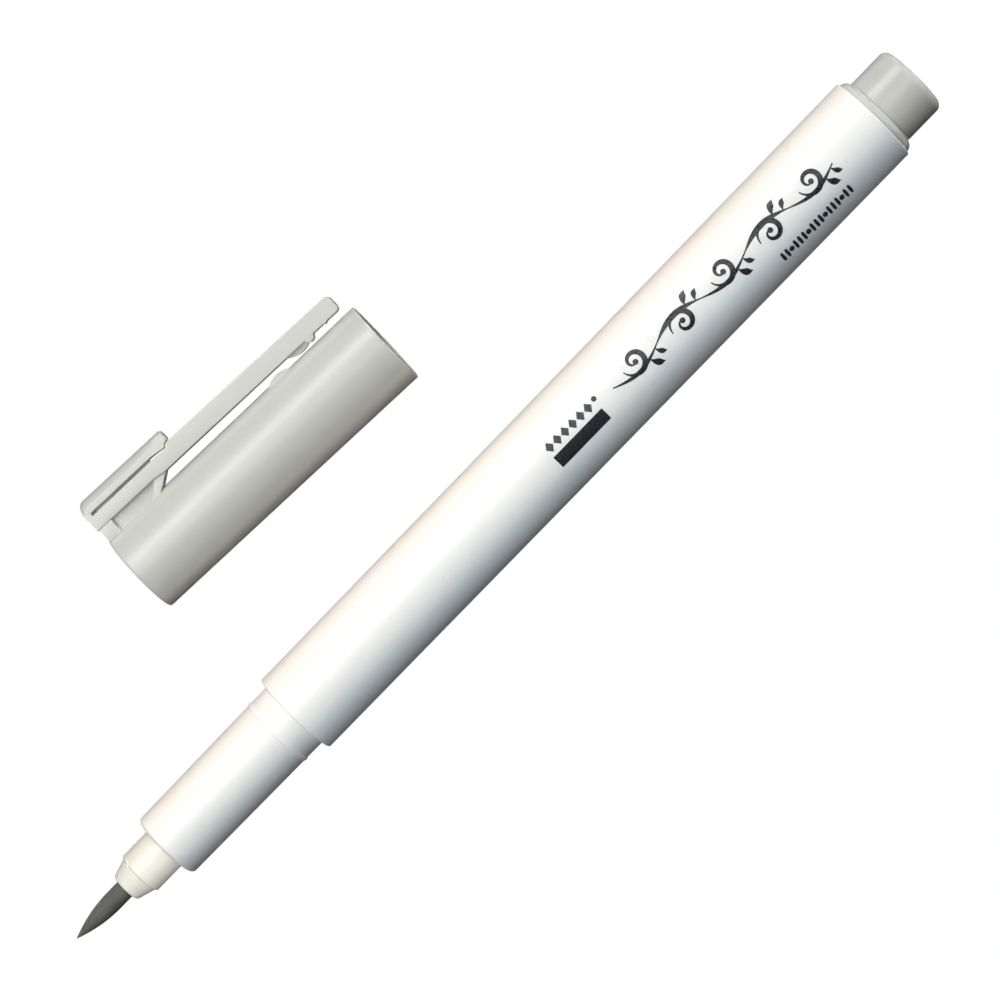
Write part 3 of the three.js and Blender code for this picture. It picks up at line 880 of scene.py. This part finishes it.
def swell(thin, thick, peak=0.4):
    """A pen's pressure along a stroke: thin, thick at its peak, thin again."""
    def width(share):
        rise = share / peak if share < peak else (1 - share) / (1 - peak)
        return thin + (thick - thin) * math.sin(math.pi / 2 * max(rise, 0.0)) ** 1.5
    return width


SCROLL_START, SCROLL_END = 19.2, 54.6
SCROLL_WAVES = 2.5
SCROLL_HEIGHT = 0.9
SCROLL_STEPS = 28
CURL_RADIUS = 1.75
CURL_TURN = math.pi * 0.98
# Leaves of a curl: how far along the stem past the curl, and size.
LEAVES = ((1.75, 1.3), (3.0, 1.0))
# Diamonds, their end dot and the bar: x and w of the middles, spacing and half sizes.
DIAMOND_X, DIAMOND_W, DIAMOND_PITCH, DIAMOND_HALF, DIAMOND_COUNT = 9.45, -0.5, 1.24, (0.55, 0.68), 6
END_DOT = (16.85, -0.75, 0.32, 0.32)
BAR_W = (0.62, 2.25)
# Beads and bars: x of the first, spacing, w, half sizes of a bead and of a bar.
BEAD_ROW_X, BEAD_PITCH, BEAD_ROW_W, BEAD_COUNT = 43.3, 0.67, 3.8, 17
BEAD_HALF, BAR_HALF = (0.33, 0.36), (0.2, 0.68)


def scroll_point(share):
    """The stem of the scroll: a wave along the barrel."""
    x = SCROLL_START + (SCROLL_END - SCROLL_START) * share
    return x, SCROLL_HEIGHT * math.sin(2 * math.pi * SCROLL_WAVES * share)


def curve_between(start, bend, end, steps=16):
    """A smooth curve from start to end, pulled towards bend."""
    points = []
    for i in range(steps + 1):
        t = i / steps
        points.append(tuple((1 - t) ** 2 * a + 2 * t * (1 - t) * b + t * t * c
                            for a, b, c in zip(start, bend, end)))
    return points


def build_scroll():
    """A vine scroll with curls and leaves, drawn with a broad pen."""
    bm = bmesh.new()
    halves = int(SCROLL_WAVES * 2)
    for half in range(halves):
        start, end = half / halves, (half + 1) / halves
        path = [scroll_point(start + (end - start) * i / SCROLL_STEPS)
                for i in range(SCROLL_STEPS + 1)]
        ink_stroke(bm, path, swell(0.16, 0.72 if half % 2 else 0.5, 0.5))
        side = 1 if half % 2 else -1
        middle = (start + end) / 2
        curl = spiral(scroll_point(middle)[0] + 0.3, side * 0.5, CURL_RADIUS, CURL_TURN, side * 1.3)
        ink_stroke(bm, curl, swell(0.14, 0.66, 0.24))
        ink_dot(bm, *curl[-1], 0.34, 0.34)
        for reach, size in LEAVES:
            foot = scroll_point(middle + reach / (SCROLL_END - SCROLL_START))
            tip = (foot[0] + size * 0.9, foot[1] - side * size * 1.1)
            bend = (foot[0] + size * 0.2, foot[1] - side * size * 0.85)
            ink_stroke(bm, curve_between(foot, bend, tip), swell(0.08, 0.62 * size, 0.6))
    return bm


def build_badge():
    """A row of diamonds over a solid bar."""
    bm = bmesh.new()
    for i in range(DIAMOND_COUNT):
        ink_dot(bm, DIAMOND_X + DIAMOND_PITCH * i, DIAMOND_W, *DIAMOND_HALF, power=1.0)
    ink_dot(bm, *END_DOT)
    ink_strip(bm, [tuple((x / 10, w) for w in BAR_W) for x in range(89, 170, 3)])
    return bm


def build_beads():
    """A row of small beads and bars below the scroll."""
    bm = bmesh.new()
    for i in range(BEAD_COUNT):
        x = BEAD_ROW_X + BEAD_PITCH * i
        if i % 4 == 2:
            ink_dot(bm, x, BEAD_ROW_W, *BEAD_HALF)
        else:
            ink_dot(bm, x, BEAD_ROW_W, *BAR_HALF, power=2.6)
    return bm


def build_print():
    """The ornament printed on the barrel."""
    for name, make in (("print_scroll", build_scroll), ("print_badge", build_badge),
                       ("print_beads", build_beads)):
        piece = finish_mesh(name, make(), PEN, INK)
        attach(piece, "pen")


# ---- Stage, lights and camera ----

PEN_TURN = math.radians(45.84)
VIEW_DISTANCE = 0.492
VIEW_WIDTH = 0.1144
VIEW_CENTRE = Vector((1.04, 0.24, 0))
VIEW_LEAN = Vector((0.02, 0.012, 0))
SENSOR = 36.0


def build_camera():
    """Almost straight above the pen, which runs up to the right across the picture."""
    right = Vector((math.cos(PEN_TURN), -math.sin(PEN_TURN), 0))
    target = PEN @ VIEW_CENTRE
    rise = math.sqrt(VIEW_DISTANCE**2 - VIEW_LEAN.length_squared)
    eye = target + VIEW_LEAN + Vector((0, 0, rise))
    back = (eye - target).normalized()
    across = (right - back * right.dot(back)).normalized()
    turn = Matrix((across, back.cross(across), back)).transposed()
    camera = bpy.data.cameras.new("photo_camera")
    camera.sensor_width = SENSOR
    camera.lens = SENSOR * VIEW_DISTANCE / VIEW_WIDTH
    camera.clip_start = 0.01
    holder = bpy.data.objects.new("photo_camera", camera)
    holder.matrix_world = Matrix.Translation(eye) @ turn.to_4x4()
    bpy.context.scene.collection.objects.link(holder)
    bpy.context.scene.camera = holder


# Strips on the picture's left, parallel to its edge: tilt from upright in degrees, width, and
# the radiance on the grey pieces, on the white barrel and on the ivory nose.
STRIP_DISTANCE = 0.3
STRIP_START, STRIP_END = -0.2, 0.5
STRIPS = (
    ("strip_wide", 33, 0.10, (2.7, 2.7, 2.7), (3.0, 4.1, 4.7), (2.9, 2.8, 2.8)),
    ("strip_core", 33, 0.07, (4.8, 4.8, 4.75), None, (1.3, 1.3, 1.2)),
    ("strip_side", 44, 0.07, (3.6, 3.6, 3.55), (4.9, 4.8, 3.2), (2.7, 2.5, 2.3)),
    ("strip_low", 56, 0.07, (1.2, 1.2, 1.2), (3.2, 0.7, 0.1), (1.6, 1.5, 1.3)),
)
# Wide soft panels parallel to the pen: tilt, angular width in degrees, and the same radiances.
PANEL_DISTANCE, PANEL_LENGTH = 0.9, 1.5
PANELS = (
    ("panel_top", 4, 22, (1.6, 1.6, 1.6), (0.65, 0.75, 1.15), (0.7, 0.8, 0.85)),
    ("panel_right", -30, 40, None, (0.4, 0.38, 0.3), (0.75, 0.75, 0.7)),
    ("panel_wide", 0, 130, None, None, (0.4, 0.4, 0.38)),
)
# Low panels past the pen's ends, which reach the faces that look along it: side, radiance.
ENDS = (("end_tail", 1, 26.0), ("end_brush", -1, 8.0))
END_DISTANCE, END_HEIGHT, END_SIZE = 0.6, 0.055, (0.09, 0.16)
FLOOR_HALF = 3.0
AMBIENT_COLOUR, AMBIENT_STRENGTH = (0.95, 0.98, 1, 1), 0.04


def area_light(name, size, radiance, along, centre, slide=0.0):
    """A soft box facing the pen, its long side parallel to along, then slid along it."""
    peak = max(radiance)
    light = bpy.data.lights.new(name, "AREA")
    light.shape = "RECTANGLE"
    light.size, light.size_y = size
    light.energy = peak * math.pi * size[0] * size[1]
    light.color = [part / peak for part in radiance]
    away = (centre - along * centre.dot(along)).normalized()
    turn = Matrix((along, away.cross(along), away)).transposed()
    holder = bpy.data.objects.new(name, light)
    holder.matrix_world = Matrix.Translation(centre + along * slide) @ turn.to_4x4()
    bpy.context.scene.collection.objects.link(holder)
    return holder


def only_on(name, pieces):
    """A collection of objects, for a light's linking."""
    group = bpy.data.collections.new(name)
    for piece in pieces:
        group.objects.link(piece)
    return group


def build_end_lights():
    """Low fill along the pen. Only the floor blocks it, so that it reaches behind the clip."""
    blockers = only_on("floor_only", [bpy.data.objects["floor"]])
    for name, side, radiance in ENDS:
        centre = Vector((side * END_DISTANCE, 0, END_HEIGHT))
        along = Vector((0, 0, 1)) - centre.normalized() * centre.normalized().z
        light = area_light(name, END_SIZE, (radiance,) * 3, along.normalized(), centre)
        light.light_linking.blocker_collection = blockers
        light.visible_glossy = False


def build_lights(barrel, nose):
    """Neutral lights for the grey pieces, with twins for the white barrel and the ivory nose."""
    others = [o for o in bpy.context.scene.objects
              if o.type == "MESH" and o not in (barrel, nose)]
    groups = (("grey", only_on("lit_grey", others)), ("white", only_on("lit_white", [barrel])),
              ("ivory", only_on("lit_ivory", [nose])))
    slant = Vector((math.cos(PEN_TURN), math.sin(PEN_TURN), 0))
    length, slide = STRIP_END - STRIP_START, (STRIP_START + STRIP_END) / 2
    rig = [(row, STRIP_DISTANCE, (length, row[2]), slant, slide) for row in STRIPS]
    for row in PANELS:
        width = 2 * PANEL_DISTANCE * math.tan(math.radians(row[2] / 2))
        rig.append((row, PANEL_DISTANCE, (PANEL_LENGTH, width), Vector((1, 0, 0)), 0.0))
    for (rig_name, tilt, _, *radiances), distance, size, along, slide in rig:
        tilt = math.radians(tilt)
        centre = Vector((0, math.sin(tilt), math.cos(tilt))) * distance
        for (name, group), radiance in zip(groups, radiances):
            if radiance:
                light = area_light(f"{rig_name}_{name}", size, radiance, along, centre, slide)
                light.light_linking.receiver_collection = group


def build_stage():
    """A plain white floor that glows, so that no shadow shows on it."""
    mesh = bpy.data.meshes.new("floor")
    signs = ((-1, -1), (1, -1), (1, 1), (-1, 1))
    corners = [(FLOOR_HALF * x, FLOOR_HALF * y, 0) for x, y in signs]
    mesh.from_pydata(corners, [], [(0, 1, 2, 3)])
    floor = bpy.data.objects.new("floor", mesh)
    bpy.context.scene.collection.objects.link(floor)
    material = bpy.data.materials.new("floor")
    material.use_nodes = True
    shader = material.node_tree.nodes["Principled BSDF"]
    shader.inputs["Base Color"].default_value = (0.05, 0.05, 0.05, 1)
    shader.inputs["Roughness"].default_value = 1.0
    shader.inputs["Specular IOR Level"].default_value = 0.0
    shader.inputs["Emission Color"].default_value = (1, 1, 1, 1)
    shader.inputs["Emission Strength"].default_value = 1.0
    mesh.materials.append(material)
    floor.visible_diffuse = False
    floor.visible_glossy = False
    floor.visible_transmission = False


def build_world():
    """White where the camera looks past the floor, and a faint even light for the rest."""
    world = bpy.data.worlds.new("studio")
    world.use_nodes = True
    tree = world.node_tree
    light = tree.nodes["Background"]
    light.inputs["Color"].default_value = AMBIENT_COLOUR
    light.inputs["Strength"].default_value = AMBIENT_STRENGTH
    backdrop = tree.nodes.new("ShaderNodeBackground")
    backdrop.inputs["Color"].default_value = (1, 1, 1, 1)
    mix = tree.nodes.new("ShaderNodeMixShader")
    tree.links.new(tree.nodes.new("ShaderNodeLightPath").outputs["Is Camera Ray"], mix.inputs[0])
    tree.links.new(light.outputs[0], mix.inputs[1])
    tree.links.new(backdrop.outputs[0], mix.inputs[2])
    tree.links.new(mix.outputs[0], tree.nodes["World Output"].inputs["Surface"])
    bpy.context.scene.world = world
    bpy.context.scene.view_settings.view_transform = "Standard"


barrel = build_barrel()
nose = build_nose()
build_brush()
build_plug()
build_reservoir()
build_cap_tube()
build_cap_seal()
build_clip_arm()
build_cam_bump()
build_clip_plate()
build_pedestal()
build_wall_bump()
build_print()
build_camera()
build_lights(barrel, nose)
build_stage()
build_end_lights()
build_world()
